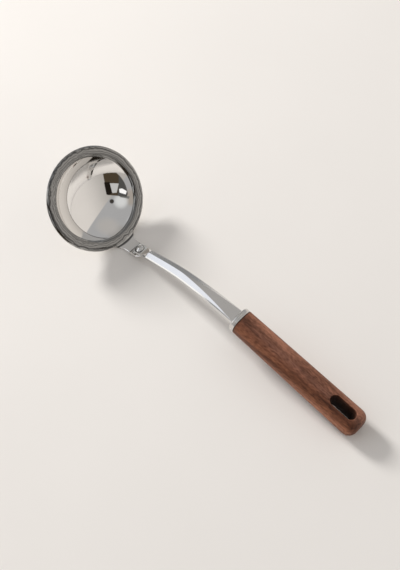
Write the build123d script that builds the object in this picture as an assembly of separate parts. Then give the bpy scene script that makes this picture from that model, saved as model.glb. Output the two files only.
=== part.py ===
from build123d import *
import os
from math import acos, asin, atan2, cos, hypot, pi, radians, sin, sqrt

os.makedirs("parts", exist_ok=True)

# A soup ladle lying as it lies on a table: the fold of its neck and the end of its handle
# both touch Z = 0, the handle runs along +X and the bowl opens up and towards the handle.
# Millimetres and degrees.

# Bowl: one pressed sheet with a dish, a rolled lip and the neck strip.
RIM_DIAMETER = 88.0
LIP_WIDTH = 9.4
LIP_DROOP = 40.0
DISH_DEPTH = 16.0
SHEET = 1.3
RIM_TILT = 45.0

# Neck strip: flat off the crown of the lip, folded up, then rising to the rivet.
NECK_LEAD = 3.4
NECK_FOLD_RADIUS = 3.0
NECK_FIRST_RISE = 6.0
NECK_LEVEL_RUN = 6.2
NECK_RISE_RADIUS = 26.0
NECK_RISE = 19.0
NECK_WIDTH = 12.0
FLARE_REACH = 8.5
FLARE_SPREAD = 18.0

# Shank: a forged bar with a ridge along its top, a flat pad at the bowl and a long flat facet
# that opens towards the handle.
PAD_WIDTH = 9.0
PAD_THICKNESS = 2.6
PAD_RUN = 5.0
PAD_RAMP = 8.0
BAR_THICKNESS = 5.2
BAR_WIDTH = 12.8
RIDGE_LAND = 0.4
EDGE_BREAK = 0.5
RISING_RUN = 22.0
BAR_BEND_RADIUS = 150.0
RIDGE_LENGTH = 40.0
LEVEL_RUN = 8.0
TANG_WIDTH = 7.5
TANG_THICKNESS = 4.0
TANG_LENGTH = 62.0
TANG_POINT = 3.0

# Rivet through the lap of shank and neck.
RIVET_STEM = 4.0
RIVET_HEAD = 7.8
RIVET_HEAD_HEIGHT = 1.9
RIVET_TAIL = 6.4
RIVET_TAIL_HEIGHT = 0.9

# Ferrule and handle, an oval that grows towards its end.
FERRULE_LENGTH = 4.6
FERRULE_ROUND = 1.6
HANDLE_LENGTH = 122.5
HANDLE_FRONT_WIDTH = 20.8
HANDLE_END_WIDTH = 23.0
HANDLE_FRONT_HEIGHT = 18.0
HANDLE_END_HEIGHT = 19.8
HANDLE_END_ROUND = 7.0
TANG_BORE = 9.4
BORE_OVERRUN = 3.0
SLOT_LENGTH = 23.5
SLOT_WIDTH = 8.6
SLOT_MARGIN = 7.4

# Shape of the oval, 2 being an ellipse, and how the rounded end closes in along its length.
OVAL_POWER = 2.5
END_POWER = 2.2
OVAL_POINTS = 32
END_RUN_SHARES = (0.0, 0.35, 0.62, 0.8, 0.92, 0.985)


def ahead(place, run):
    """The place a straight run further on; a place is x, z and heading in radians."""
    x, z, way = place
    return x + run * cos(way), z + run * sin(way), way


def bent(place, radius, turn):
    """The place at the end of a bend, upwards where turn is positive."""
    x, z, way = place
    side = radius if turn > 0 else -radius
    return x + side * (sin(way + turn) - sin(way)), z - side * (cos(way + turn) - cos(way)), way + turn


def below(place, depth):
    """The point at a depth under a place, square to its heading."""
    x, z, way = place
    return x + depth * sin(way), 0, z - depth * cos(way)


def strip(place, moves, thickness, width):
    """A strip whose top follows straight runs (length, 0) and bends (radius, turn)."""
    top = []
    low = []
    here = place
    for size, turn in moves:
        if turn:
            half = bent(here, size, turn / 2)
            there = bent(here, size, turn)
            top.append(ThreePointArc(below(here, 0), below(half, 0), below(there, 0)))
            low.append(ThreePointArc(below(here, thickness), below(half, thickness), below(there, thickness)))
        else:
            there = ahead(here, size)
            top.append(Line(below(here, 0), below(there, 0)))
            low.append(Line(below(here, thickness), below(there, thickness)))
        here = there
    ends = [
        Line(below(place, 0), below(place, thickness)),
        Line(below(here, 0), below(here, thickness)),
    ]
    face = Face(Wire(top + low + ends))
    return extrude(face, amount=width / 2, dir=(0, 1, 0), both=True)


def across(place):
    """A plane square to the path at a place, its x to the side and its y up."""
    x, z, way = place
    return Plane(origin=(x, 0, z), x_dir=(0, 1, 0), z_dir=(cos(way), 0, sin(way)))


# Places along the part. The crown of the lip is the highest circle of the rim.
tilt = radians(RIM_TILT)
rim_radius = RIM_DIAMETER / 2
lip_inner = rim_radius - LIP_WIDTH
dish_radius = (lip_inner**2 + DISH_DEPTH**2) / (2 * DISH_DEPTH)
wall_angle = asin(lip_inner / dish_radius)
droop = radians(LIP_DROOP)
lip_round = LIP_WIDTH / (sin(wall_angle) + sin(droop))
crown_radius = lip_inner + lip_round * sin(wall_angle)
lip_fall = lip_round * (1 - cos(wall_angle))
rim_height = (crown_radius + NECK_LEAD) * sin(tilt) + NECK_FOLD_RADIUS * (1 - cos(tilt)) + SHEET

crown_place = (crown_radius * cos(tilt), rim_height - crown_radius * sin(tilt), -tilt)
first_rise = radians(NECK_FIRST_RISE)
rise = radians(NECK_RISE)
nose_radius = PAD_WIDTH / 2
neck_end_radius = NECK_WIDTH / 2
neck_moves = [
    (NECK_LEAD, 0),
    (NECK_FOLD_RADIUS, tilt + first_rise),
    (NECK_LEVEL_RUN, 0),
    (NECK_RISE_RADIUS, rise - first_rise),
]
lap_place = crown_place
for size, turn in neck_moves:
    lap_place = bent(lap_place, size, turn) if turn else ahead(lap_place, size)
rivet_place = ahead(lap_place, nose_radius)
neck_moves.append((nose_radius + neck_end_radius, 0))

# The handle's pitch is the one that lays the end of the handle on Z = 0.
handle_total = FERRULE_LENGTH + HANDLE_LENGTH
pad_end = ahead(rivet_place, PAD_RUN)
ramp_end = ahead(pad_end, PAD_RAMP)
bend_start = ahead(ramp_end, RISING_RUN)
axis_over_bar = BAR_THICKNESS / 2
drop_arm = LEVEL_RUN + handle_total - HANDLE_END_ROUND
turn_arm = BAR_BEND_RADIUS + axis_over_bar - HANDLE_END_HEIGHT / 2
base_height = bend_start[1] - BAR_BEND_RADIUS * cos(rise)
pitch = acos(-base_height / hypot(turn_arm, drop_arm)) - atan2(drop_arm, turn_arm)
bend_end = bent(bend_start, BAR_BEND_RADIUS, -(rise + pitch))
bar_end = ahead(bend_end, LEVEL_RUN)
bar_length = PAD_RAMP + RISING_RUN + BAR_BEND_RADIUS * (rise + pitch) + LEVEL_RUN
axis_point = below(bar_end, -axis_over_bar)
handle_frame = Location(axis_point, (0, pitch * 180 / pi, 0))
rim_frame = Location((0, 0, rim_height), (0, RIM_TILT, 0))


def make_bowl():
    """Dished shell with the rolled lip, and the neck strip with its flare and rivet hole."""
    dish_centre = sqrt(dish_radius**2 - lip_inner**2) - lip_fall
    half_wall = wall_angle / 2
    lip_middle = (wall_angle - droop) / 2

    def dish_at(angle, grow):
        return (dish_radius + grow) * sin(angle), 0, dish_centre - (dish_radius + grow) * cos(angle)

    def lip_at(angle, grow):
        return crown_radius - (lip_round + grow) * sin(angle), 0, (lip_round + grow) * cos(angle) - lip_round

    profile = [
        ThreePointArc(dish_at(0, 0), dish_at(half_wall, 0), dish_at(wall_angle, 0)),
        ThreePointArc(lip_at(wall_angle, 0), lip_at(lip_middle, 0), lip_at(-droop, 0)),
        Line(lip_at(-droop, 0), lip_at(-droop, -SHEET)),
        ThreePointArc(lip_at(-droop, -SHEET), lip_at(lip_middle, -SHEET), lip_at(wall_angle, -SHEET)),
        ThreePointArc(dish_at(wall_angle, SHEET), dish_at(half_wall, SHEET), dish_at(0, SHEET)),
        Line(dish_at(0, SHEET), dish_at(0, 0)),
    ]
    shell = rim_frame * revolve(Face(Wire(profile)), axis=Axis.Z)

    flare_start = ahead(crown_place, NECK_LEAD + NECK_FOLD_RADIUS)[0]
    neck_side = flare_start + FLARE_REACH
    flare_angle = radians(FLARE_SPREAD)
    flare_x = rim_radius * cos(flare_angle) * cos(tilt)
    flare_y = rim_radius * sin(flare_angle)
    back_x = crown_radius * cos(flare_angle) * cos(tilt)
    front_x = rivet_place[0]
    left = TangentArc((neck_side, neck_end_radius), (flare_x, flare_y), tangent=(-1, 0))
    right = TangentArc((neck_side, -neck_end_radius), (flare_x, -flare_y), tangent=(-1, 0))
    outline = Wire([
        left,
        Line((flare_x, flare_y), (back_x, flare_y)),
        Line((back_x, flare_y), (back_x, -flare_y)),
        Line((back_x, -flare_y), (flare_x, -flare_y)),
        right,
        Line((neck_side, -neck_end_radius), (front_x, -neck_end_radius)),
        Line((front_x, -neck_end_radius), (front_x, neck_end_radius)),
        Line((front_x, neck_end_radius), (neck_side, neck_end_radius)),
    ])
    plan = extrude(Face(outline), amount=RIM_DIAMETER, both=True)

    fold = strip(crown_place, neck_moves[:-1], SHEET, RIM_DIAMETER) & plan
    web_outer = crown_radius + NECK_LEAD
    web_ring = Cylinder(web_outer, SHEET, align=(Align.CENTER, Align.CENTER, Align.MAX))
    web_ring -= Cylinder(crown_radius, 3 * SHEET)
    web = (rim_frame * web_ring) & plan

    lap = strip(lap_place, neck_moves[-1:], SHEET, NECK_WIDTH)
    lap_plane = Plane(origin=below(rivet_place, 0), x_dir=(cos(rise), 0, sin(rise)), z_dir=(-sin(rise), 0, cos(rise)))
    tip = lap_plane * Cylinder(neck_end_radius, 2 * SHEET)
    tip += lap_plane * Box(NECK_WIDTH, NECK_WIDTH, 2 * SHEET, align=(Align.MAX, Align.CENTER, Align.CENTER))
    lap &= tip
    hole = lap_plane * Cylinder(RIVET_STEM / 2, 4 * SHEET)
    return shell + web + fold + lap - hole


def bar_section(place, width, side, top, land):
    """The bar's cross-section: flat base, square sides, bevels and a land on top."""
    half = width / 2
    rim = [
        (half - EDGE_BREAK, 0),
        (half, EDGE_BREAK),
        (half, side),
        (land / 2, top),
        (-land / 2, top),
        (-half, side),
        (-half, EDGE_BREAK),
        (EDGE_BREAK - half, 0),
    ]
    return across(place) * make_face(Polyline(*rim, close=True))


def make_shank():
    """Pad, ramp, ridged bar, faceted bar and tang, in one forging."""
    def width_at(run):
        return PAD_WIDTH + (BAR_WIDTH - PAD_WIDTH) * run / bar_length

    bevel = BAR_THICKNESS - PAD_THICKNESS
    full_land = BAR_WIDTH - 2 * EDGE_BREAK

    def facet_at(share):
        land = RIDGE_LAND + (full_land - RIDGE_LAND) * share
        return PAD_THICKNESS + (bevel - EDGE_BREAK) * share, land

    pad_plane = Plane(origin=below(rivet_place, 0), x_dir=(cos(rise), 0, sin(rise)), z_dir=(-sin(rise), 0, cos(rise)))
    on_base = (Align.CENTER, Align.CENTER, Align.MIN)
    pad = Cylinder(nose_radius, PAD_THICKNESS, align=on_base)
    pad += Box(PAD_RUN, PAD_WIDTH, PAD_THICKNESS, align=(Align.MIN, Align.CENTER, Align.MIN))
    pad -= Cylinder(RIVET_STEM / 2, 3 * PAD_THICKNESS)
    shank = pad_plane * pad

    start = bar_section(pad_end, PAD_WIDTH, PAD_THICKNESS - EDGE_BREAK / 2, PAD_THICKNESS, PAD_WIDTH - EDGE_BREAK)
    ridge = bar_section(ramp_end, width_at(PAD_RAMP), PAD_THICKNESS, BAR_THICKNESS, RIDGE_LAND)
    shank += loft([start, ridge], ruled=True)

    bend_run = BAR_BEND_RADIUS * (rise + pitch)

    def place_at(run):
        if run <= PAD_RAMP + RISING_RUN:
            return ahead(pad_end, run)
        if run <= PAD_RAMP + RISING_RUN + bend_run:
            part = run - PAD_RAMP - RISING_RUN
            return bent(bend_start, BAR_BEND_RADIUS, -part / BAR_BEND_RADIUS)
        return ahead(bend_end, run - PAD_RAMP - RISING_RUN - bend_run)

    kink_run = PAD_RAMP + RIDGE_LENGTH
    ridge_stops = [PAD_RAMP, PAD_RAMP + RISING_RUN / 2, PAD_RAMP + RISING_RUN]
    ridge_stops += [PAD_RAMP + RISING_RUN + (kink_run - PAD_RAMP - RISING_RUN) * i / 3 for i in (1, 2, 3)]
    sections = [
        bar_section(place_at(run), width_at(run), PAD_THICKNESS, BAR_THICKNESS, RIDGE_LAND) for run in ridge_stops
    ]
    shank += loft(sections)

    sections = []
    steps = 8
    for i in range(steps + 1):
        run = kink_run + (bar_length - kink_run) * i / steps
        side, land = facet_at(i / steps)
        sections.append(bar_section(place_at(run), width_at(run), side, BAR_THICKNESS, land))
    shank += loft(sections)

    tang = Box(TANG_LENGTH - TANG_POINT, TANG_WIDTH, TANG_THICKNESS, align=(Align.MIN, Align.CENTER, Align.CENTER))
    root = Plane(origin=(TANG_LENGTH - TANG_POINT, 0, 0), x_dir=(0, 1, 0), z_dir=(1, 0, 0))
    point = Plane(origin=(TANG_LENGTH, 0, 0), x_dir=(0, 1, 0), z_dir=(1, 0, 0))
    tang += loft([
        root * Rectangle(TANG_WIDTH, TANG_THICKNESS),
        point * Rectangle(TANG_WIDTH / 2, TANG_THICKNESS / 2),
    ], ruled=True)
    return shank + handle_frame * tang


def dome(width, height):
    """A spherical cap standing on the XY plane."""
    radius = ((width / 2)**2 + height**2) / (2 * height)
    ball = Pos(0, 0, height - radius) * Sphere(radius)
    return ball & Cylinder(width, 2 * radius, align=(Align.CENTER, Align.CENTER, Align.MIN))


def make_rivet():
    """Domed head, stem and peened tail."""
    plane = Plane(origin=below(rivet_place, 0), x_dir=(cos(rise), 0, sin(rise)), z_dir=(-sin(rise), 0, cos(rise)))
    head = Pos(0, 0, PAD_THICKNESS) * dome(RIVET_HEAD, RIVET_HEAD_HEIGHT)
    tail = Pos(0, 0, -SHEET) * Rot(180, 0, 0) * dome(RIVET_TAIL, RIVET_TAIL_HEIGHT)
    stem_length = PAD_THICKNESS + SHEET
    stem = Pos(0, 0, -SHEET) * Cylinder(RIVET_STEM / 2, stem_length, align=(Align.CENTER, Align.CENTER, Align.MIN))
    return plane * (head + stem + tail)


def oval(x, width, height):
    """The handle's oval section as a face square to the handle's axis."""
    points = []
    for i in range(OVAL_POINTS):
        turn = 2 * pi * i / OVAL_POINTS
        side = abs(cos(turn))**(2 / OVAL_POWER)
        up = abs(sin(turn))**(2 / OVAL_POWER)
        points.append((0.5 * width * (side if cos(turn) > 0 else -side), 0.5 * height * (up if turn < pi else -up)))
    plane = Plane(origin=(x, 0, 0), x_dir=(0, 1, 0), z_dir=(1, 0, 0))
    return plane * make_face(Spline(*points, periodic=True))


def make_ferrule():
    """Steel collar with a rounded front rim, slotted for the tang."""
    front = oval(0, HANDLE_FRONT_WIDTH, HANDLE_FRONT_HEIGHT)
    collar = extrude(front, amount=FERRULE_LENGTH, dir=(1, 0, 0))
    rim = collar.edges().sort_by(Axis.X)[0]
    collar = fillet(rim, FERRULE_ROUND)
    slot = Box(3 * FERRULE_LENGTH, TANG_WIDTH, TANG_THICKNESS)
    return handle_frame * (collar - slot)


def make_handle():
    """Wooden handle with its rounded end, hanging slot and blind bore for the tang."""
    reach = HANDLE_LENGTH - HANDLE_END_ROUND
    grow_width = (HANDLE_END_WIDTH - HANDLE_FRONT_WIDTH) / reach
    grow_height = (HANDLE_END_HEIGHT - HANDLE_FRONT_HEIGHT) / reach
    body = loft([
        oval(FERRULE_LENGTH, HANDLE_FRONT_WIDTH, HANDLE_FRONT_HEIGHT),
        oval(FERRULE_LENGTH + reach, HANDLE_END_WIDTH, HANDLE_END_HEIGHT),
    ])
    stations = []
    for share in END_RUN_SHARES:
        closing = (1 - share**END_POWER)**(1 / END_POWER)
        run = HANDLE_END_ROUND * share
        inset = HANDLE_END_ROUND * (1 - closing)
        width = HANDLE_END_WIDTH + grow_width * run - 2 * inset
        height = HANDLE_END_HEIGHT + grow_height * run - 2 * inset
        stations.append(oval(FERRULE_LENGTH + reach + run, width, height))
    body += loft(stations)

    slot_centre = FERRULE_LENGTH + HANDLE_LENGTH - SLOT_MARGIN - SLOT_LENGTH / 2
    slot = Pos(slot_centre, 0, 0) * extrude(
        SlotOverall(SLOT_LENGTH, SLOT_WIDTH), amount=HANDLE_END_HEIGHT, both=True
    )
    bore_depth = TANG_LENGTH - FERRULE_LENGTH + BORE_OVERRUN
    bore = Pos(FERRULE_LENGTH, 0, 0) * Rot(0, 90, 0) * Cylinder(
        TANG_BORE / 2, bore_depth, align=(Align.CENTER, Align.CENTER, Align.MIN)
    )
    return handle_frame * (body - slot - bore)


def make_tang_bond(shank):
    """Cured adhesive that fills the bore round the tang."""
    bore_depth = TANG_LENGTH - FERRULE_LENGTH + BORE_OVERRUN
    fill = Pos(FERRULE_LENGTH, 0, 0) * Rot(0, 90, 0) * Cylinder(
        TANG_BORE / 2, bore_depth, align=(Align.CENTER, Align.CENTER, Align.MIN)
    )
    return handle_frame * fill - shank


shank = make_shank()
nodes = {
    "bowl": make_bowl(),
    "shank": shank,
    "neck_rivet": make_rivet(),
    "ferrule": make_ferrule(),
    "handle": make_handle(),
    "tang_bond": make_tang_bond(shank),
}

# The origin goes to the middle of the footprint, on the surface that the ladle lies on.
box = Compound(children=[solid for shape in nodes.values() for solid in shape.solids()]).bounding_box()
middle_x = (box.min.X + box.max.X) / 2
for name, shape in nodes.items():
    export_step(Pos(-middle_x, 0, -box.min.Z) * shape, f"parts/{name}.step")
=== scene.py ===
from math import acos, asin, atan2, cos, hypot, pi, radians, sin, sqrt

import bpy
import numpy as np
from mathutils import Matrix, Vector


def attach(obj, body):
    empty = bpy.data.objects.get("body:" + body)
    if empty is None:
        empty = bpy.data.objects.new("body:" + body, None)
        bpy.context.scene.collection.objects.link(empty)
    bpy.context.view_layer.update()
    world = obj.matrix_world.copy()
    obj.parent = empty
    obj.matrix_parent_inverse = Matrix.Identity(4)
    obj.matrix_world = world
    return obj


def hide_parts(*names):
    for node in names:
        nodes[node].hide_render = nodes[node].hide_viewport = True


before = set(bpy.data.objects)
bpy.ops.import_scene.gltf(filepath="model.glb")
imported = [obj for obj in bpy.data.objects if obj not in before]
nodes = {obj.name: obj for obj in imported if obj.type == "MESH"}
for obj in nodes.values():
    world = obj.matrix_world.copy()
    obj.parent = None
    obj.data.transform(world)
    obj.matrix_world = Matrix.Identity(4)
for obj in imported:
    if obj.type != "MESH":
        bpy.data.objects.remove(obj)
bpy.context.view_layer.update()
MM = 0.001

# Bowl, in mm: a dish with a rolled lip, tilted, its rim plane round RIM_X, RIM_Z.
TILT = radians(45)
RIM = 44.0
LIP_INNER = 34.6
CROWN = 39.699
LIP_ROUND = 6.692
DISH = 45.411
DISH_CENTRE = 27.05
SHEET = 1.3
RIM_X, RIM_Z = -126.042, 32.745
EDGE_IN, EDGE_FAR_IN, EDGE_FADE = 0.27, 0.26, radians(14)
NECK_ARC, NECK_COLUMNS, REST_COLUMNS = 30, 200, 216
DISH_ROWS, LIP_ROWS, OUTER_ROWS, BEAD_STEPS = 40, 9, 36, 8

# Neck strip: its runs and bends from the crown of the lip, its width, and where the lip's droop fades.
LEAD, FOLD, FIRST_RISE, LEVEL, RISE_RADIUS, LAP = 3.4, 3.0, radians(6), 6.2, 26.0, 90.0
RISE = radians(19)
NECK_HALF = 6.0
NECK_REACH = radians(34)
FLARE_START, FLARE_END, FLARE_OUT = 40.8, 51.0, 6.7
DROOP_FREE, DROOP_FADE = 5.0, 11.0
DROOP_END, DROOP_END_FADE = 41.5, 3.0

# Pad and bar. The side edge steps up behind the pad, and down again past the end of the ridge.
PAD, PAD_TOP, PAD_RUN, RAMP = 9.0, 2.6, 5.0, 8.0
PAD_EASE, NOSE_HALF = 0.02, 0.25
BAR_TOP, BAR_WIDTH = 5.2, 12.8
RISING, BEND, RIDGE, LAST = 22.0, 150.0, 40.0, 8.0
RIDGE_LAND, RAMP_POWER, RAMP_LAND_POWER = 0.12, 1.25, 1.8
SIDE_STEP, SIDE_STEP_RUN, SIDE_DOWN_AT, SIDE_DOWN_RUN = 0.8, 7.0, 50.0, 22.0
END_DROP, END_LAND_IN, SIDE_POWER = 0.35, 0.9, 2
EASED, EASED_RUN, EASED_SHARE, EASED_DROP = 0.95, 6.0, 0.4, 0.37
UNDER, UNDER_SHARE = 0.45, 0.3
CORNER_RADII = [0.3, 0.3, 0.15, 0.1, 0.05, 0.05, 0.1, 0.15, 0.3, 0.3]
NOSE_STEPS, PAD_STOPS = 14, [0.0, 1.5, 3.0, 4.2]
RAMP_STEP, BAR_STEP, KINK_GAP = 0.4, 1.0, 0.15

# Rivet.
HEAD, HEAD_RISE, DOME, STEM, TAIL, TAIL_RISE = 3.9, 1.9, 3.75, 2.0, 3.2, 0.9
DOME_STEPS, RIVET_COLUMNS = 14, 48

# Ferrule and handle.
FERRULE, HANDLE = 4.6, 122.5
FRONT_W, END_W, FRONT_H, END_H = 20.8, 23.0, 18.0, 19.8
COLLAR_ROUND, COLLAR_STEPS, COLLAR_COLUMNS = 1.5, 8, 160
END_ROUND, END_CURVE = 7.0, 8.3
FRONT_EASE, FRONT_EASE_RUN = 0.35, 0.5
OVAL, END_POWER = 2.5, 2.2
SLOT_LENGTH, SLOT_WIDTH, SLOT_MARGIN = 23.5, 8.6, 7.4
SLOT_IN, SLOT_TAPER, SLOT_SOFT = 0.36, 0.066, 0.3
INSIDE = 0.01

# How far the whole part is lifted to rest on its floor.
LIFT = 0.0913


# Mesh helpers
def new_mesh(name, points, faces, smooth_faces=True):
    mesh = bpy.data.meshes.new(name)
    mesh.from_pydata([tuple(p) for p in np.asarray(points, float) * MM], [], faces)
    mesh.validate()
    mesh.update()
    if smooth_faces:
        mesh.polygons.foreach_set("use_smooth", [True] * len(mesh.polygons))
    piece = bpy.data.objects.new(name, mesh)
    bpy.context.scene.collection.objects.link(piece)
    return piece


def tube_faces(rows, columns):
    """Quads between rows of points, each row a closed loop."""
    faces = []
    for i in range(rows - 1):
        for j in range(columns):
            a = i * columns + j
            b = i * columns + (j + 1) % columns
            faces.append((a, b, b + columns, a + columns))
    return faces


def capped(faces, rows, columns):
    """Close a tube with one flat face at each end."""
    last = (rows - 1) * columns
    return faces + [tuple(reversed(range(columns))), tuple(range(last, last + columns))]


def smooth(share):
    share = min(max(share, 0), 1)
    return share * share * (3 - 2 * share)


def ahead(place, run):
    x, z, way = place
    return x + run * cos(way), z + run * sin(way), way


def bent(place, radius, turn):
    x, z, way = place
    side = radius if turn > 0 else -radius
    return x + side * (sin(way + turn) - sin(way)), z - side * (cos(way + turn) - cos(way)), way + turn


def along(place, moves, run):
    """The place at a distance along straight runs (length, 0) and bends (radius, turn)."""
    for size, turn in moves:
        length = abs(size * turn) if turn else size
        if run <= length or (size, turn) == moves[-1]:
            return bent(place, size, turn * run / length) if turn else ahead(place, run)
        place = bent(place, size, turn) if turn else ahead(place, size)
        run -= length
    return place


# Where the neck strip runs, from the crown of the lip, and where the bar goes after it.
crown_place = (RIM_X + CROWN * cos(TILT), RIM_Z - CROWN * sin(TILT), -TILT)
neck_moves = [(LEAD, 0), (FOLD, TILT + FIRST_RISE), (LEVEL, 0), (RISE_RADIUS, RISE - FIRST_RISE), (LAP, 0)]
lap_start = LEAD + FOLD * (TILT + FIRST_RISE) + LEVEL + RISE_RADIUS * (RISE - FIRST_RISE)
rivet_run = lap_start + PAD / 2
rivet_place = along(crown_place, neck_moves, rivet_run)
pad_end = ahead(rivet_place, PAD_RUN)
bend_start = ahead(pad_end, RAMP + RISING)
drop_arm = LAST + FERRULE + HANDLE - END_ROUND
turn_arm = BEND + BAR_TOP / 2 - END_H / 2
base = bend_start[1] - LIFT - BEND * cos(RISE)
PITCH = acos(-base / hypot(turn_arm, drop_arm)) - atan2(drop_arm, turn_arm)
bar_moves = [(PAD_RUN + RAMP + RISING, 0), (BEND, -(RISE + PITCH)), (LAST, 0)]
bar_length = RAMP + RISING + BEND * (RISE + PITCH) + LAST
bar_end = along(rivet_place, bar_moves, PAD_RUN + bar_length)
axis_at = (bar_end[0] - BAR_TOP / 2 * sin(bar_end[2]), bar_end[1] + BAR_TOP / 2 * cos(bar_end[2]))
handle_turn = Matrix.Translation(Vector((axis_at[0], 0, axis_at[1]))) @ Matrix.Rotation(PITCH, 4, "Y")


def in_handle(points):
    """Points from the handle's own frame, x along its axis, to the part's frame."""
    turn = np.array(handle_turn)
    return np.asarray(points, float) @ turn[:3, :3].T + turn[:3, 3]


# Bowl
def neck_half(q):
    """Half the width of the neck strip at a distance q from the rim's axis."""
    if q >= CROWN + rivet_run:
        back = q - (CROWN + rivet_run)
        return sqrt(max(NECK_HALF**2 - back**2, 0))
    share = max(FLARE_END - q, 0) / (FLARE_END - FLARE_START)
    return NECK_HALF + FLARE_OUT * share**2


def rim_reach(angle):
    """How far the sheet goes from the rim's axis at an angle round it."""
    low, high = RIM, CROWN + rivet_run + NECK_HALF
    if abs(angle) > NECK_REACH:
        return low
    for _ in range(40):
        mid = (low + high) / 2
        if abs(mid * sin(angle)) < neck_half(mid * cos(angle)):
            low = mid
        else:
            high = mid
    return low


def sheet_height(r, q, v):
    """Height of the sheet's top over the rim plane; the lip's droop fades into the neck."""
    if r <= LIP_INNER:
        return DISH_CENTRE - sqrt(DISH**2 - r**2)
    if r <= RIM:
        fall = sqrt(LIP_ROUND**2 - (CROWN - r)**2) - LIP_ROUND
    else:
        edge = sqrt(LIP_ROUND**2 - (CROWN - RIM)**2)
        fall = edge - LIP_ROUND - (RIM - CROWN) / edge * (r - RIM)
    if r <= CROWN or q < 0:
        return fall
    beside = smooth((abs(v) - DROOP_FREE) / DROOP_FADE)
    return fall * beside * (1 - smooth((q - DROOP_END) / DROOP_END_FADE))


def on_sheet(r, angle):
    q, v = r * cos(angle), r * sin(angle)
    height = sheet_height(r, q, v)
    if q > CROWN:
        x, z, way = along(crown_place, neck_moves, q - CROWN)
    else:
        x, z, way = RIM_X + q * cos(TILT), RIM_Z - q * sin(TILT), -TILT
    return x - height * sin(way), v, z + height * cos(way)


def drawn_in(angle):
    """How far the sheet's top stops short of its edge, which a bead then closes."""
    at_neck = smooth((radians(NECK_ARC) - abs(angle)) / EDGE_FADE)
    return EDGE_IN + (SHEET / 2 - EDGE_IN) * at_neck + EDGE_FAR_IN * max(-cos(angle), 0)**2


def unit(rows):
    return rows / np.linalg.norm(rows, axis=-1, keepdims=True)


def make_bowl():
    """One sheet: the top from the dish to the edge, a bead round the edge, and the underside."""
    near_step, far_step = 2 * NECK_ARC / NECK_COLUMNS, (360 - 2 * NECK_ARC) / REST_COLUMNS
    angles = [radians(-NECK_ARC + near_step * i) for i in range(NECK_COLUMNS)]
    for i in range(REST_COLUMNS):
        angles.append(radians(NECK_ARC + far_step * i - (360 if i > REST_COLUMNS / 2 else 0)))
    columns = len(angles)
    radii = [LIP_INNER * sin(pi / 2 * i / DISH_ROWS) for i in range(1, DISH_ROWS)]
    radii += [LIP_INNER + (CROWN - LIP_INNER) * i / LIP_ROWS for i in range(LIP_ROWS + 1)]
    top = [[on_sheet(r, a) for a in angles] for r in radii]
    reach = [rim_reach(a) - drawn_in(a) for a in angles]
    for i in range(1, OUTER_ROWS + 1):
        top.append([on_sheet(CROWN + (w - CROWN) * i / OUTER_ROWS, a) for w, a in zip(reach, angles)])
    top = np.array(top)

    round_step = np.roll(top, -1, axis=1) - np.roll(top, 1, axis=1)
    out_step = np.empty_like(top)
    out_step[1:-1] = top[2:] - top[:-2]
    out_step[0] = top[1] - top[0]
    out_step[-1] = top[-1] - top[-2]
    normal = unit(np.cross(out_step, round_step))
    low = top - SHEET * normal

    edge_out = np.cross(unit(round_step[-1]), normal[-1])
    middle = (top[-1] + low[-1]) / 2
    turns = [pi * i / BEAD_STEPS for i in range(1, BEAD_STEPS)]
    bead = [middle + SHEET / 2 * (cos(a) * normal[-1] + sin(a) * edge_out) for a in turns]
    rows = np.concatenate([top, np.array(bead), low[::-1]])
    faces = [tuple(reversed(face)) for face in tube_faces(len(rows), columns)]
    pole_top = on_sheet(0, 0)
    pole_low = np.array(pole_top) - SHEET * np.array((sin(TILT), 0, cos(TILT)))
    points = np.concatenate([rows.reshape(-1, 3), [pole_top, pole_low]])
    first, second = len(points) - 2, len(points) - 1
    last_row = (len(rows) - 1) * columns
    for j in range(columns):
        k = (j + 1) % columns
        faces.append((first, j, k))
        faces.append((second, last_row + k, last_row + j))
    return new_mesh("bowl_sheet", points, faces)


# Shank
def rounded(corners, radii, steps=4, room_share=0.42):
    """A polygon with its corners rounded, as points in order."""
    out = []
    for i, corner in enumerate(corners):
        here = np.array(corner, float)
        before = np.array(corners[i - 1], float) - here
        after = np.array(corners[(i + 1) % len(corners)], float) - here
        room = min(np.linalg.norm(before), np.linalg.norm(after)) * room_share
        cut = min(radii[i], room)
        start = here + before / max(np.linalg.norm(before), 1e-9) * cut
        end = here + after / max(np.linalg.norm(after), 1e-9) * cut
        for k in range(steps + 1):
            t = k / steps
            out.append((1 - t)**2 * start + 2 * t * (1 - t) * here + t * t * end)
    return out


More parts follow.
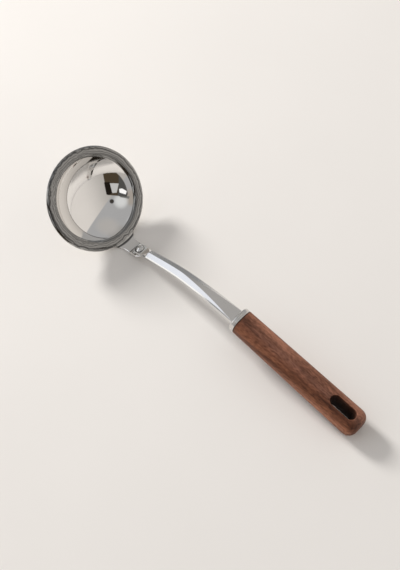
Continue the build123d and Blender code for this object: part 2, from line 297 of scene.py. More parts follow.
def bar_corners(run):
    """The corners of the bar's cross-section at a distance from the rivet, its side edges eased."""
    half = PAD / 2
    if run <= 0:
        half = max(sqrt(max(half**2 - run**2, 0.0)), NOSE_HALF)
    elif run > PAD_RUN:
        half = (PAD + (BAR_WIDTH - PAD) * (run - PAD_RUN) / bar_length) / 2
    stepped = smooth((run - PAD_RUN) / SIDE_STEP_RUN) * (1 - smooth((run - SIDE_DOWN_AT) / SIDE_DOWN_RUN))
    tall = PAD_TOP + SIDE_STEP * stepped
    if run <= PAD_RUN:
        side, top, land = PAD_TOP - PAD_EASE, PAD_TOP, half * 2 - 2 * PAD_EASE
    elif run <= PAD_RUN + RAMP:
        share = (run - PAD_RUN) / RAMP
        closed = share**RAMP_LAND_POWER
        side = tall
        top = PAD_TOP + (BAR_TOP - PAD_TOP) * share**RAMP_POWER
        land = half * 2 * (1 - closed) + RIDGE_LAND * closed
    elif run <= PAD_RUN + RAMP + RIDGE:
        side, top, land = tall, BAR_TOP, RIDGE_LAND
    else:
        share = (run - PAD_RUN - RAMP - RIDGE) / (bar_length - RAMP - RIDGE)
        side = tall + (BAR_TOP - END_DROP - tall) * share**SIDE_POWER
        top = BAR_TOP
        land = RIDGE_LAND + (half * 2 - END_LAND_IN - RIDGE_LAND) * share
    reach = hypot(half - land / 2, top - side)
    cut = min(EASED * smooth((run - PAD_RUN) / EASED_RUN), reach * EASED_SHARE)
    in_x = half - (half - land / 2) * cut / reach
    in_z = side + (top - side) * cut / reach
    under = half - min(UNDER, half * UNDER_SHARE)
    edge = side - EASED_DROP * cut
    right = [(under, 0), (half, UNDER), (half, edge), (in_x, in_z), (land / 2, top)]
    return right + [(-x, z) for x, z in reversed(right)]


def make_shank():
    runs = [-(PAD / 2 - PAD_EASE) * cos(pi / 2 * i / NOSE_STEPS) for i in range(NOSE_STEPS)] + PAD_STOPS
    runs += list(np.arange(PAD_RUN, PAD_RUN + RAMP, RAMP_STEP))
    runs += list(np.arange(PAD_RUN + RAMP, PAD_RUN + bar_length, BAR_STEP))
    kink = PAD_RUN + RAMP + RIDGE
    runs += [PAD_RUN + bar_length]
    runs = sorted(set([round(run, 4) for run in runs] + [kink - KINK_GAP, kink + KINK_GAP]))
    points = []
    for run in runs:
        x, z, way = along(rivet_place, bar_moves, run) if run > 0 else ahead(rivet_place, run)
        for side, up in rounded(bar_corners(run), CORNER_RADII):
            points.append((x - up * sin(way), side, z + up * cos(way)))
    columns = len(points) // len(runs)
    faces = capped(tube_faces(len(runs), columns), len(runs), columns)
    piece = new_mesh("shank_bar", points, faces)
    weighted = piece.modifiers.new("weighted_normals", "WEIGHTED_NORMAL")
    weighted.mode = "FACE_AREA"
    weighted.weight = 90
    weighted.keep_sharp = True
    return piece


# Rivet
def make_rivet():
    """A shallow dome with a small square shoulder, and the peened tail under the lap."""
    radius = (HEAD**2 + HEAD_RISE**2) / (2 * HEAD_RISE)
    turns = [asin(DOME / radius) * i / DOME_STEPS for i in range(DOME_STEPS + 1)]
    dome = [(radius * sin(a), HEAD_RISE - radius * (1 - cos(a))) for a in turns]
    foot = dome[-1][1]
    head = dome[1:] + [(HEAD - 0.04, foot - 0.10), (HEAD, foot - 0.22), (HEAD, -0.05), (STEM, -0.1)]
    tail = [(STEM, 0.1), (TAIL, 0.05), (TAIL - 0.05, -0.2), (TAIL - 0.6, -0.55), (TAIL - 1.7, -0.82)]
    rings = [(r, PAD_TOP + up) for r, up in head] + [(r, up - SHEET) for r, up in tail]
    x, z, way = rivet_place

    def place(r, angle, up):
        a, b = r * cos(angle), r * sin(angle)
        return x + a * cos(way) - up * sin(way), b, z + a * sin(way) + up * cos(way)

    points = []
    for r, up in rings:
        points += [place(r, 2 * pi * j / RIVET_COLUMNS, up) for j in range(RIVET_COLUMNS)]
    faces = [tuple(reversed(face)) for face in tube_faces(len(rings), RIVET_COLUMNS)]
    points += [place(0, 0, PAD_TOP + HEAD_RISE), place(0, 0, -SHEET - TAIL_RISE)]
    last_row = (len(rings) - 1) * RIVET_COLUMNS
    for j in range(RIVET_COLUMNS):
        k = (j + 1) % RIVET_COLUMNS
        faces.append((len(points) - 2, j, k))
        faces.append((len(points) - 1, last_row + k, last_row + j))
    return new_mesh("rivet_set", points, faces)


# Ferrule
def oval_ring(width, height, count):
    ring = []
    for j in range(count):
        a = 2 * pi * j / count
        y = abs(cos(a))**(2 / OVAL) * width / 2 * (1 if cos(a) > 0 else -1)
        z = abs(sin(a))**(2 / OVAL) * height / 2 * (1 if a < pi else -1)
        ring.append((y, z))
    return ring


def make_ferrule():
    """Collar with a rounded front rim and a fine step where the wood starts."""
    turns = [pi / 2 * i / COLLAR_STEPS for i in range(COLLAR_STEPS, -1, -1)]
    stops = [(0.0, 6.0), (0.0, 3.0)]
    stops += [(COLLAR_ROUND * (1 - sin(a)), COLLAR_ROUND * (1 - cos(a))) for a in turns]
    stops += [
        (2.4, 0.0), (FERRULE - 0.45, 0.0), (FERRULE - 0.3, 0.03), (FERRULE - 0.12, 0.16),
        (FERRULE - 0.05, 0.4), (FERRULE - 0.05, 2.0),
    ]
    points = []
    for x, inset in stops:
        for y, z in oval_ring(FRONT_W - 2 * inset, FRONT_H - 2 * inset, COLLAR_COLUMNS):
            points.append((x, y, z))
    faces = capped(tube_faces(len(stops), COLLAR_COLUMNS), len(stops), COLLAR_COLUMNS)
    return new_mesh("ferrule_collar", in_handle(points), faces)


# Handle
def handle_size(x):
    """Width and height of the handle's oval at x, with the rounded end drawn in."""
    reach = HANDLE - END_ROUND
    run = x - FERRULE
    width = FRONT_W + (END_W - FRONT_W) * run / reach
    height = FRONT_H + (END_H - FRONT_H) * run / reach
    share = np.clip((run - HANDLE + END_CURVE) / END_CURVE, 0, 0.9999)
    inset = END_CURVE * (1 - (1 - share**END_POWER)**(1 / END_POWER))
    front = np.clip((FRONT_EASE_RUN - run) / FRONT_EASE_RUN, 0, 1)
    inset = inset + FRONT_EASE * front**2
    return width - 2 * inset, height - 2 * inset


def handle_field(p):
    """Below zero inside the wood: the oval bar, less a slot that narrows downwards, its edge softened."""
    x, y, z = p[..., 0], p[..., 1], p[..., 2]
    width, height = handle_size(x)
    a, b = np.maximum(width, 0.5) / 2, np.maximum(height, 0.5) / 2
    level = (np.abs(y / a)**OVAL + np.abs(z / b)**OVAL + 1e-9)**(1 / OVAL)
    body = (level - 1) * np.minimum(a, b)
    body = np.maximum(body, x - (FERRULE + HANDLE))
    body = np.maximum(body, FERRULE - x)
    centre = FERRULE + HANDLE - SLOT_MARGIN - SLOT_LENGTH / 2
    half = (SLOT_LENGTH - SLOT_WIDTH) / 2
    dx = np.maximum(np.abs(x - centre) - half, 0)
    slot = SLOT_WIDTH / 2 - SLOT_IN + SLOT_TAPER * z - np.sqrt(dx**2 + y**2)
    gap = np.clip(0.5 + 0.5 * (body - slot) / SLOT_SOFT, 0, 1)
    return slot * (1 - gap) + body * gap + SLOT_SOFT * gap * (1 - gap)


def slope_of(field, points, reach):
    """How fast a field rises along x, y and z at each point."""
    sides = np.eye(3) * reach
    return np.stack([(field(points + side) - field(points - side)) / (2 * reach) for side in sides], -1)


def edge_ends(axis):
    """Slices that pick both ends of every grid edge along an axis."""
    start, end = [slice(None)] * 3, [slice(None)] * 3
    start[axis], end[axis] = slice(0, -1), slice(1, None)
    return tuple(start), tuple(end)


def surface_net(field, low, high, step):
    """Quads on the zero surface of a field, its corners pulled onto the surface."""
    axes = [np.arange(low[i], high[i] + step, step) for i in range(3)]
    grid = np.stack(np.meshgrid(*axes, indexing="ij"), -1)
    value = field(grid)
    inside = value < 0
    shape = [n - 1 for n in value.shape]
    total = np.zeros(shape + [3])
    count = np.zeros(shape)
    for axis in range(3):
        start, end = edge_ends(axis)
        a, b = value[start], value[end]
        crossing = inside[start] != inside[end]
        share = np.where(crossing, a / np.where(crossing, a - b, 1), 0)
        point = grid[start].copy()
        point[..., axis] += share * step
        others = [i for i in range(3) if i != axis]
        for first in (0, 1):
            for second in (0, 1):
                part = [slice(None)] * 3
                part[others[0]] = slice(first, first + shape[others[0]])
                part[others[1]] = slice(second, second + shape[others[1]])
                here = crossing[tuple(part)]
                total += np.where(here[..., None], point[tuple(part)], 0)
                count += here
    used = count > 0
    index = -np.ones(shape, int)
    index[used] = np.arange(used.sum())
    points = total[used] / count[used][:, None]
    for _ in range(6):
        slope = slope_of(field, points, 0.02)
        size = np.maximum((slope**2).sum(-1), 0.05)
        points -= np.clip((field(points) / size)[:, None] * slope, -step, step) * 0.9
    faces = []
    for axis in range(3):
        start, end = edge_ends(axis)
        others = [(axis + 1) % 3, (axis + 2) % 3]
        for cell in np.argwhere(inside[start] != inside[end]):
            corners = []
            for first, second in ((-1, -1), (0, -1), (0, 0), (-1, 0)):
                at = cell.copy()
                at[others[0]] += first
                at[others[1]] += second
                if (at < 0).any() or any(at[i] >= shape[i] for i in range(3)):
                    corners = []
                    break
                corners.append(int(index[tuple(at)]))
            if len(corners) == 4 and min(corners) >= 0:
                faces.append(tuple(corners) if inside[tuple(cell)] else tuple(reversed(corners)))
    return points, faces


def make_handle():
    step = 0.6
    spare_x, spare = 1.5, 1.7
    low = (FERRULE - spare_x, -END_W / 2 - spare, -END_H / 2 - spare)
    high = (FERRULE + HANDLE + spare_x, END_W / 2 + spare, END_H / 2 + spare)
    points, faces = surface_net(handle_field, low, high, step)
    points[:, 0] = np.clip(points[:, 0], FERRULE, FERRULE + HANDLE - INSIDE)
    points[:, 1] = np.clip(points[:, 1], INSIDE - END_W / 2, END_W / 2 - INSIDE)
    piece = new_mesh("handle_wood", in_handle(points), faces)
    slope = slope_of(handle_field, points, 0.05)
    slope /= np.maximum(np.linalg.norm(slope, axis=1, keepdims=True), 1e-9)
    turned = slope @ np.array(handle_turn)[:3, :3].T
    piece.data.normals_split_custom_set_from_vertices([tuple(v) for v in turned])
    return piece


# Material helpers
def material(name):
    mat = bpy.data.materials.new(name)
    mat.use_nodes = True
    tree = mat.node_tree
    tree.nodes.clear()
    out = tree.nodes.new("ShaderNodeOutputMaterial")
    shader = tree.nodes.new("ShaderNodeBsdfPrincipled")
    tree.links.new(shader.outputs["BSDF"], out.inputs["Surface"])
    return mat, tree, shader


def node(tree, kind, links=None, **values):
    made = tree.nodes.new("ShaderNode" + kind)
    for key, value in values.items():
        if hasattr(made, key):
            setattr(made, key, value)
        else:
            made.inputs[key].default_value = value
    for key, source in (links or {}).items():
        tree.links.new(source, made.inputs[key])
    return made


def feed(tree, made, terms):
    """Give a node its first inputs in order, each a socket or a plain value."""
    for place, term in zip(made.inputs, terms):
        if isinstance(term, bpy.types.NodeSocket):
            tree.links.new(term, place)
        else:
            place.default_value = (*term, 1) if place.type == "RGBA" else term


def maths(tree, operation, *terms):
    made = node(tree, "Math", operation=operation)
    feed(tree, made, terms)
    return made.outputs["Value"]


def vectors(tree, operation, *terms):
    made = node(tree, "VectorMath", operation=operation)
    feed(tree, made, terms)
    return made.outputs["Value" if operation in ("DOT_PRODUCT", "LENGTH") else "Vector"]


def scaled(tree, vector, scale):
    """A vector, socket or plain, times a socket's value."""
    made = node(tree, "VectorMath", {"Scale": scale}, operation="SCALE")
    feed(tree, made, (vector,))
    return made.outputs["Vector"]


def span(tree, value, low, high, to_low=0.0, to_high=1.0, kind="LINEAR"):
    """One range of a value mapped to another, and held past its ends."""
    made = node(tree, "MapRange", {"Value": value}, interpolation_type=kind)
    for name, level in {"From Min": low, "From Max": high, "To Min": to_low, "To Max": to_high}.items():
        made.inputs[name].default_value = level
    return made.outputs["Result"]


def blend(tree, share, below, above, kind="MIX"):
    """One colour laid over another, or multiplied into it."""
    made = node(tree, "MixRGB", blend_type=kind)
    feed(tree, made, (share, below, above))
    return made.outputs["Color"]


def ramp(tree, source, stops):
    made = tree.nodes.new("ShaderNodeValToRGB")
    tree.links.new(source, made.inputs["Fac"])
    band = made.color_ramp
    while len(band.elements) < len(stops):
        band.elements.new(0.5)
    for element, (at, colour) in zip(band.elements, stops):
        element.position = at
        element.color = (*colour, 1)
    return made.outputs["Color"]


def grey_ramp(tree, source, stops, tint=(1, 1, 1)):
    """A ramp of greys, each times one tint."""
    return ramp(tree, source, [(at, [level * share for share in tint]) for at, level in stops])


def object_place(tree):
    return tree.nodes.new("ShaderNodeTexCoord").outputs["Object"]


def mapped(tree, scale, turn=(0, 0, 0), place=(0, 0, 0)):
    moved = tree.nodes.new("ShaderNodeMapping")
    moved.inputs["Scale"].default_value = scale
    moved.inputs["Rotation"].default_value = turn
    moved.inputs["Location"].default_value = place
    tree.links.new(object_place(tree), moved.inputs["Vector"])
    return moved.outputs["Vector"]


def noise(tree, scale, detail, turn=(0, 0, 0), place=(0, 0, 0), roughness=0.5):
    """Noise over the object's own place; one scale, or one for each axis."""
    scale = scale if isinstance(scale, tuple) else (scale, scale, scale)
    vector = mapped(tree, scale, turn, place)
    made = node(tree, "TexNoise", {"Vector": vector}, Scale=1.0, Detail=detail, Roughness=roughness)
    return made.outputs["Fac"]


# Materials
def steel(name, colour, rough, spread, scratch_scale, bump):
    """Stainless steel: cloudy roughness, fine directional scratches and a faint bump."""
    mat, tree, shader = material(name)
    shader.inputs["Metallic"].default_value = 1.0
    shader.inputs["Specular IOR Level"].default_value = 0.5
    cloud = noise(tree, 60, 4.0)
    lines = noise(tree, scratch_scale, 5.0)
    tint = ramp(tree, cloud, [(0.3, [c * 0.96 for c in colour]), (0.7, colour)])
    tree.links.new(tint, shader.inputs["Base Color"])
    mixed = maths(tree, "MULTIPLY", cloud, lines)
    tree.links.new(span(tree, mixed, 0.1, 0.45, rough, rough + spread), shader.inputs["Roughness"])
    if bump:
        raised = node(tree, "Bump", {"Height": lines}, Strength=bump, Distance=0.0001)
        tree.links.new(raised.outputs["Normal"], shader.inputs["Normal"])
    return mat


def bowl_steel():
    """Mirror inside and under; a duller, spun lip, painted darker with turned bands as painted reflection; a
    painted shade line in the neck's fold.
    """
    mat, tree, shader = material("bowl_steel")
    shader.inputs["Metallic"].default_value = 1.0
    axis = (sin(TILT), 0, cos(TILT))
    from_rim = vectors(tree, "SUBTRACT", object_place(tree), (RIM_X * MM, 0, RIM_Z * MM))
    height = vectors(tree, "DOT_PRODUCT", from_rim, axis)
    outward = vectors(tree, "SUBTRACT", from_rim, scaled(tree, axis, height))
    radius = vectors(tree, "LENGTH", outward)

    wander = noise(tree, 75, 3.0, roughness=0.55)
    shift = maths(tree, "MULTIPLY_ADD", wander, 0.0046, -0.0023)
    curls = noise(tree, 230, 2.0)
    where = noise(tree, 38, 1.0, place=(2, 3, 5))
    reach = span(tree, where, 0.42, 0.62, 0.0009, 0.0062, "SMOOTHSTEP")
    curl = maths(tree, "MULTIPLY_ADD", maths(tree, "SUBTRACT", curls, 0.5), reach, shift)
    wavy = maths(tree, "ADD", radius, curl)
    band_at = span(tree, wavy, (LIP_INNER - 0.1) * MM, (RIM + 0.5) * MM)
    # Painted reflection: the lip's colour is darkened, with dark turned bands standing in for the dark lines it
    # mirrors.
    spun_and_reflection_bands = grey_ramp(tree, band_at, [
        (0.00, 0.52), (0.04, 0.16), (0.08, 0.28), (0.15, 0.38), (0.20, 0.12), (0.26, 0.32), (0.31, 0.13),
        (0.37, 0.30), (0.43, 0.34), (0.47, 0.11), (0.52, 0.34), (0.60, 0.33), (0.65, 0.20), (0.70, 0.09),
        (0.75, 0.13), (0.80, 0.40), (0.85, 0.22), (0.91, 0.37), (1.00, 0.52),
    ], (1, 0.99, 0.965))

    lip = span(tree, radius, (LIP_INNER + 0.1) * MM, (LIP_INNER + 0.4) * MM, kind="SMOOTHSTEP")
    outer = span(tree, radius, (RIM + 1.5) * MM, (RIM + 0.7) * MM, kind="SMOOTHSTEP")
    facing = vectors(tree, "DOT_PRODUCT", tree.nodes.new("ShaderNodeNewGeometry").outputs["Normal"], axis)
    mask = maths(tree, "MULTIPLY", lip, outer)
    mask = maths(tree, "MULTIPLY", mask, span(tree, facing, -0.6, -0.2))
    cloud = noise(tree, 60, 4.0)
    clean = ramp(tree, cloud, [(0.3, (0.86, 0.845, 0.825)), (0.7, (0.89, 0.875, 0.855))])
    # Painted shade: a dark line along the fold where the neck leaves the lip's edge.
    fold = span(tree, radius, (RIM - 0.5) * MM, (RIM + 2.5) * MM)
    painted_fold_shade = grey_ramp(tree, fold, [(0.15, 1.0), (0.30, 0.20), (0.60, 0.14), (0.85, 1.0)])
    shaded = blend(tree, 1.0, blend(tree, mask, clean, spun_and_reflection_bands), painted_fold_shade, "MULTIPLY")
    tree.links.new(shaded, shader.inputs["Base Color"])
    scuffs = span(tree, noise(tree, 900, 4.0), 0.0, 1.0, 0.02, 0.07)
    tree.links.new(maths(tree, "MULTIPLY_ADD", mask, 0.07, scuffs), shader.inputs["Roughness"])
    return mat


def principled(tree):
    """A material's shader, and what its colour and roughness come from."""
    shader = next(n for n in tree.nodes if n.type == "BSDF_PRINCIPLED")
    return shader, *(shader.inputs[name].links[0].from_socket for name in ("Base Color", "Roughness"))


def shank_steel():
    """Polished bar; the short ramp behind the pad is rougher satin, its colour painted warm as a painted
    reflection.
    """
    mat = steel("polished_steel", (0.76, 0.755, 0.745), 0.08, 0.06, (40, 1800, 1800), 0.10)
    tree = mat.node_tree
    shader, colour, rough = principled(tree)
    way = Vector((cos(RISE), 0, sin(RISE)))
    run = vectors(tree, "DOT_PRODUCT", object_place(tree), way)
    start = way.dot(Vector((rivet_place[0], 0, rivet_place[1]))) + PAD_RUN
    end = start + RAMP
    mask = span(tree, run, (start + 0.2) * MM, (start + 0.6) * MM)
    mask = maths(tree, "MULTIPLY", mask, span(tree, run, (end + 0.6) * MM, (end + 0.2) * MM))
    lean = RISE + radians(18)
    normal = tree.nodes.new("ShaderNodeNewGeometry").outputs["True Normal"]
    facing = vectors(tree, "DOT_PRODUCT", normal, (-sin(lean), 0, cos(lean)))
    mask = maths(tree, "MULTIPLY", mask, span(tree, facing, 0.965, 0.975))
    tree.links.new(maths(tree, "MULTIPLY_ADD", mask, 0.30, rough), shader.inputs["Roughness"])
    # Painted reflection: the ramp's colour is warmed to stand in for a warm surround it mirrors.
    tree.links.new(blend(tree, mask, colour, (0.86, 0.80, 0.73)), shader.inputs["Base Color"])
    return with_rivet_shade(mat)


def with_rivet_shade(mat):
    """Painted shade: a dark line round the rivet's head, where head and pad meet."""
    tree = mat.node_tree
    shader, colour, _ = principled(tree)
    off = vectors(tree, "SUBTRACT", object_place(tree), (rivet_place[0] * MM, 0, rivet_place[1] * MM))
    off = vectors(tree, "CROSS_PRODUCT", off, (-sin(RISE), 0, cos(RISE)))
    radius = span(tree, vectors(tree, "LENGTH", off), (HEAD - 0.9) * MM, (HEAD + 1.1) * MM)
    # Painted shade on the head's shoulder and the pad round it.
    painted_shade_line = grey_ramp(tree, radius, [(0.20, 1.0), (0.34, 0.22), (0.56, 0.16), (0.68, 1.0)])
    tree.links.new(blend(tree, 1.0, colour, painted_shade_line, "MULTIPLY"), shader.inputs["Base Color"])
    return mat


def wood():
    """Dark oiled wood: bands across it, partly figure and partly painted light that lightens both sides, long
    grain, flecks, open pores, a dark seam, painted shade on the slot walls and a painted highlight round the
    slot's edge.
    """
    mat, tree, shader = material("dark_wood")
    shader.inputs["Specular IOR Level"].default_value = 0.22
    turn = (0, -PITCH, 0)
    warp = node(tree, "TexNoise", {"Vector": mapped(tree, (12, 60, 60), turn)}, Scale=1.0, Detail=3.0)
    bent_grain = vectors(tree, "ADD", mapped(tree, (16, 300, 300), turn), warp.outputs["Color"])
    grain = node(tree, "TexNoise", {"Vector": bent_grain}, Scale=1.0, Detail=6.0, Roughness=0.66)
    grain = grain.outputs["Fac"]
    figure = noise(tree, (7, 110, 110), 4.0, turn, (3, 1, 2))
    flecks = noise(tree, (260, 900, 900), 3.0, turn)
    pores = noise(tree, (170, 2300, 2300), 2.0, turn)
    drift = noise(tree, (11, 40, 40), 3.0, turn, (5, 2, 1))
    side = node(tree, "SeparateXYZ", {"Vector": mapped(tree, (1, 1, 1), turn)}).outputs["Y"]

    base = ramp(tree, figure, [
        (0.28, (0.090, 0.034, 0.019)), (0.45, (0.155, 0.065, 0.039)),
        (0.58, (0.204, 0.089, 0.056)), (0.73, (0.280, 0.129, 0.085)),
    ])
    across = span(tree, maths(tree, "MULTIPLY_ADD", drift, 0.005, side), -0.009, 0.014)
    # Painted light: the bands lighten the wood towards both sides of the handle, on top of its figure and a
    # dark streak.
    figure_bands_and_side_light = ramp(tree, across, [
        (0.00, (1.80, 1.70, 1.46)), (0.12, (1.42, 1.30, 1.10)), (0.22, (0.78, 0.67, 0.56)),
        (0.31, (0.94, 0.86, 0.78)), (0.45, (0.86, 0.87, 0.91)), (0.60, (0.96, 0.97, 0.98)),
        (0.76, (1.30, 1.29, 1.26)), (1.00, (1.90, 1.96, 1.96)),
    ])
    streak = ramp(tree, grain, [
        (0.30, (0.42, 0.38, 0.36)), (0.50, (0.95, 0.94, 0.93)), (0.70, (1.35, 1.32, 1.28)),
    ])
    fleck = ramp(tree, flecks, [
        (0.34, (0.60, 0.56, 0.54)), (0.50, (1.03, 1.02, 1.02)), (0.66, (1.36, 1.33, 1.32)),
    ])
    pore_mask = ramp(tree, pores, [(0.34, (0.45, 0.42, 0.42)), (0.44, (1, 1, 1))])
    colour = base
    for share, layer in ((0.9, figure_bands_and_side_light), (0.85, streak), (0.8, fleck), (0.8, pore_mask)):
        colour = blend(tree, share, colour, layer, "MULTIPLY")

    start = Vector((cos(PITCH), 0, -sin(PITCH)))
    seam_at = start.dot(Vector((axis_at[0], 0, axis_at[1]))) + FERRULE
    run = vectors(tree, "DOT_PRODUCT", object_place(tree), start)
    seam = span(tree, run, (seam_at + 0.35) * MM, (seam_at + 1.1) * MM, 0.25, 1.0, "SMOOTHSTEP")
    colour = scaled(tree, colour, seam)
    centre = (seam_at + HANDLE - SLOT_MARGIN - SLOT_LENGTH / 2) * MM
    off = maths(tree, "ABSOLUTE", maths(tree, "SUBTRACT", run, centre))
    off = maths(tree, "SUBTRACT", off, (SLOT_LENGTH - SLOT_WIDTH) / 2 * MM)
    off = maths(tree, "MAXIMUM", off, 0.0)
    from_slot = node(tree, "CombineXYZ", {"X": off, "Y": side}).outputs["Vector"]
    wall = SLOT_WIDTH / 2
    edge = span(tree, vectors(tree, "LENGTH", from_slot), (wall - 0.3) * MM, (wall + 1.7) * MM)
    # Painted shade down the slot's walls, and a painted highlight just outside its edge.
    slot_shade_and_edge_highlight = ramp(tree, edge, [
        (0.22, (0.30, 0.28, 0.27)), (0.34, (1.0, 1.0, 1.0)), (0.46, (1.2, 1.2, 1.2)), (0.70, (1.0, 1.0, 1.0)),
    ])
    tree.links.new(blend(tree, 1.0, colour, slot_shade_and_edge_highlight, "MULTIPLY"), shader.inputs["Base Color"])

    tree.links.new(span(tree, grain, 0.0, 1.0, 0.62, 0.42), shader.inputs["Roughness"])
    height = maths(tree, "ADD", grain, pores)
    raised = node(tree, "Bump", {"Height": height}, Strength=0.35, Distance=0.0002)
    tree.links.new(raised.outputs["Normal"], shader.inputs["Normal"])
    return mat


def epoxy():
    mat, tree, shader = material("cured_adhesive")
    tint = ramp(tree, noise(tree, 400, 3.0), [(0.35, (0.42, 0.34, 0.20)), (0.65, (0.58, 0.49, 0.32))])
    tree.links.new(tint, shader.inputs["Base Color"])
    shader.inputs["Roughness"].default_value = 0.5
    return mat


bowl_metal = bowl_steel()
mirror = with_rivet_shade(steel("mirror_steel", (0.76, 0.75, 0.73), 0.05, 0.06, (300, 300, 300), 0.0))
polished = shank_steel()
satin = steel("satin_steel", (0.73, 0.715, 0.69), 0.20, 0.14, (2200, 60, 60), 0.2)
dark_wood = wood()
adhesive = epoxy()


# Pieces
def finish_piece(piece, mat, node_name):
    piece.data.materials.clear()
    piece.data.materials.append(mat)
    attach(piece, "root")
    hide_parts(node_name)


finish_piece(make_bowl(), bowl_metal, "bowl")
finish_piece(make_shank(), polished, "shank")
finish_piece(make_rivet(), mirror, "neck_rivet")
finish_piece(make_ferrule(), satin, "ferrule")
finish_piece(make_handle(), dark_wood, "handle")
for name, mat in {
    "bowl": bowl_metal, "shank": polished, "neck_rivet": mirror,
    "ferrule": satin, "handle": dark_wood, "tang_bond": adhesive,
}.items():
    nodes[name].data.materials.clear()
    nodes[name].data.materials.append(mat)

# Floor
FLOOR_SIDE = 3000.0
floor_mat, tree, shader = material("floor_paint")
tone = ramp(tree, noise(tree, 6, 3.0), [(0.3, (0.825, 0.795, 0.76)), (0.7, (0.845, 0.815, 0.78))])
tree.links.new(tone, shader.inputs["Base Color"])
shader.inputs["Roughness"].default_value = 0.9
floor_corners = [(x * FLOOR_SIDE, y * FLOOR_SIDE, 0) for x, y in ((-1, -1), (1, -1), (1, 1), (-1, 1))]
floor = new_mesh("floor", floor_corners, [(0, 1, 2, 3)], False)
floor.data.materials.append(floor_mat)

# Surround, painted by direction. Azimuths and elevations are in degrees.
world = bpy.data.worlds.new("studio")
bpy.context.scene.world = world
world.use_nodes = True
tree = world.node_tree
tree.nodes.clear()
out = tree.nodes.new("ShaderNodeOutputWorld")
back = tree.nodes.new("ShaderNodeBackground")
tree.links.new(back.outputs["Background"], out.inputs["Surface"])
sky_way = tree.nodes.new("ShaderNodeTexCoord").outputs["Generated"]


def heading(azimuth, elevation):
    a, b = radians(azimuth), radians(elevation)
    return Vector((cos(b) * cos(a), cos(b) * sin(a), sin(b)))


def along_axis(axis):
    return vectors(tree, "DOT_PRODUCT", sky_way, axis)


def step_up(value, low, high):
    return span(tree, value, low, high, kind="SMOOTHSTEP")


def painted(below, mask, colour):
    """Lay a colour over what is there, where the mask is up."""
    return blend(tree, mask, below, colour)


def round_patch(azimuth, elevation, inner, outer):
    return step_up(along_axis(heading(azimuth, elevation)), cos(radians(outer)), cos(radians(inner)))


def flat_view(azimuth, elevation):
    """The sky round a direction as a flat picture, in tangents, and where that picture holds."""
    front = heading(azimuth, elevation)
    side = front.cross(Vector((0, 0, 1))).normalized()
    rise = side.cross(front)
    depth = along_axis(front)
    picture = tree.nodes.new("ShaderNodeCombineXYZ")
    for name, way in (("X", side), ("Y", rise)):
        tree.links.new(maths(tree, "DIVIDE", along_axis(way), depth), picture.inputs[name])
    picture.inputs["Z"].default_value = 1.0
    return picture.outputs["Vector"], step_up(depth, 0.0, 0.05)


def sided_patch(view, corners, soft):
    """A patch of a flat view inside straight sides, its corners listed anticlockwise."""
    picture, mask = view
    for (ax, ay), (bx, by) in zip(corners, corners[1:] + corners[:1]):
        length = hypot(bx - ax, by - ay)
        nx, ny = (ay - by) / length, (bx - ax) / length
        within = vectors(tree, "DOT_PRODUCT", picture, (nx, ny, -(ax * nx + ay * ny)))
        mask = maths(tree, "MULTIPLY", mask, step_up(within, -soft, soft))
    return mask


# A pale wall on the handle's side and a grey ceiling over the bowl.
wall_tone = step_up(along_axis(heading(65, 0)), -0.2, 0.9)
wall = blend(tree, wall_tone, (0.48, 0.455, 0.43), (0.76, 0.72, 0.68))
ceiling = step_up(along_axis(Vector((-0.872, -0.237, 0.427))), -0.015, 0.015)
sky = painted(wall, ceiling, (0.42, 0.42, 0.425))

# Round patches: azimuth, elevation, where they are full and where they end, colour.
# They sit where the dish and the bar's facets reflect for the camera below, and match only there.
# These two colours are brighter than white.
white, cream = (1.06, 1.09, 1.17), (1.38, 1.36, 1.33)
patches = [
    (150, 45, 8, 22, (0.36, 0.35, 0.34)), (116, 61, 0, 27, (0.475, 0.457, 0.44)),
    (150, 0, 18, 46, (0.30, 0.30, 0.30)), (-163, 36, 14, 25, white),
]
for azimuth, elevation in ((-151, 13), (-141, 21), (-131, 25), (-123, 19)):
    patches.append((azimuth, elevation, 5, 11, cream))
patches.append((-100, 38, 8, 20, (0.41, 0.37, 0.33)))
for azimuth, elevation, outer in ((-148, 44, 10), (-138, 41, 10), (-129, 39, 9), (-121, 37, 8), (-115, 35, 7)):
    patches.append((azimuth, elevation, 4, outer, white))
patches += [(-77, 57, 0, 19, (0.72, 0.73, 0.73)), (-40, 61, 3.5, 5.5, (0.05, 0.045, 0.04))]
for azimuth, elevation, inner, outer, colour in patches:
    sky = painted(sky, round_patch(azimuth, elevation, inner, outer), colour)

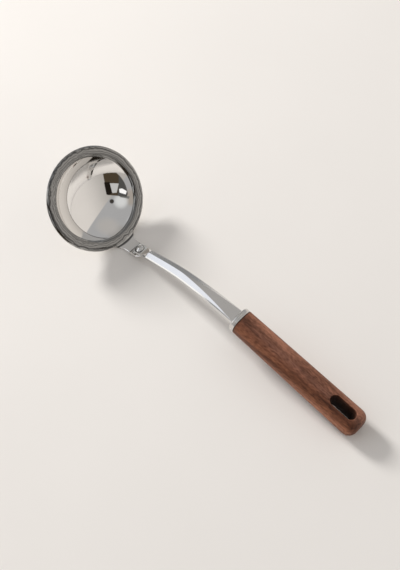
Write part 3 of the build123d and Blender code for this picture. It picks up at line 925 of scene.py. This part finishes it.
# A dark window bay with its panes, as corners, softness of the sides and colour.
bay = flat_view(-55, 22)
for corners, soft, colour in (
    ([(0.10, 0.44), (0.62, 0.46), (0.62, 0.58), (0.18, 0.56)], 0.015, (0.20, 0.20, 0.19)),
    ([
        (-0.52, -0.48), (-0.02, -0.42), (0.17, -0.20), (0.32, 0.02), (0.48, 0.36), (0.46, 0.50), (-0.36, 0.52),
    ], 0.015, (0.070, 0.052, 0.033)),
    ([
        (0.07, -0.34), (0.17, -0.20), (0.32, 0.02), (0.48, 0.36), (0.46, 0.50), (0.07, 0.50),
    ], 0.03, (0.085, 0.085, 0.082)),
    ([
        (-0.47, -0.02), (-0.25, -0.02), (-0.16, 0.42), (-0.30, 0.52), (-0.40, 0.50),
    ], 0.015, (0.014, 0.011, 0.008)),
    ([(-0.245, 0.03), (0.07, 0.02), (0.02, 0.38), (-0.15, 0.41)], 0.008, (0.58, 0.575, 0.57)),
    ([(0.10, 0.22), (0.20, 0.185), (0.41, 0.255), (0.40, 0.40), (0.13, 0.36)], 0.01, (1.12, 1.12, 1.12)),
):
    sky = painted(sky, sided_patch(bay, corners, soft), colour)
tree.links.new(sky, back.inputs["Color"])
back.inputs["Strength"].default_value = 1.0

# Key lamp behind the bowl. The steel doesn't mirror it.
KEY_PLACE, KEY_SIDE, KEY_WATTS = heading(180, 28) * 2.6, 0.6, 65.5
key_data = bpy.data.lights.new("key", "AREA")
key_data.shape = "RECTANGLE"
key_data.size, key_data.size_y = KEY_SIDE, KEY_SIDE
key_data.energy = KEY_WATTS
key_data.color = (1.0, 0.985, 0.965)
key = bpy.data.objects.new("key", key_data)
bpy.context.scene.collection.objects.link(key)
key.location = KEY_PLACE
key.rotation_euler = (-KEY_PLACE).to_track_quat("-Z", "Y").to_euler()
key.visible_glossy = False

# Camera: the picture's height and focal length in pixels, and its place in metres.
PICTURE_HEIGHT, FOCAL_PIXELS, SENSOR = 570, 1079.4, 36
CAMERA_PLACE = (0.29165, -0.30468, 0.77047)
camera_data = bpy.data.cameras.new("camera")
camera = bpy.data.objects.new("camera", camera_data)
bpy.context.scene.collection.objects.link(camera)
camera_data.sensor_fit = "VERTICAL"
camera_data.sensor_height = SENSOR
camera_data.lens = FOCAL_PIXELS / PICTURE_HEIGHT * SENSOR
camera_data.clip_start = 0.01
azimuth, lean, roll = radians(-45.458), radians(29.971), radians(-1.297)
toward = Vector((sin(lean) * cos(azimuth), sin(lean) * sin(azimuth), cos(lean)))
up = Vector((-cos(lean) * cos(azimuth), -cos(lean) * sin(azimuth), sin(lean)))
right = up.cross(toward)
right, up = right * cos(roll) + up * sin(roll), up * cos(roll) - right * sin(roll)
camera.matrix_world = Matrix([(right[i], up[i], toward[i], CAMERA_PLACE[i]) for i in range(3)] + [(0, 0, 0, 1)])
bpy.context.scene.camera = camera
bpy.context.scene.view_settings.view_transform = "Standard"
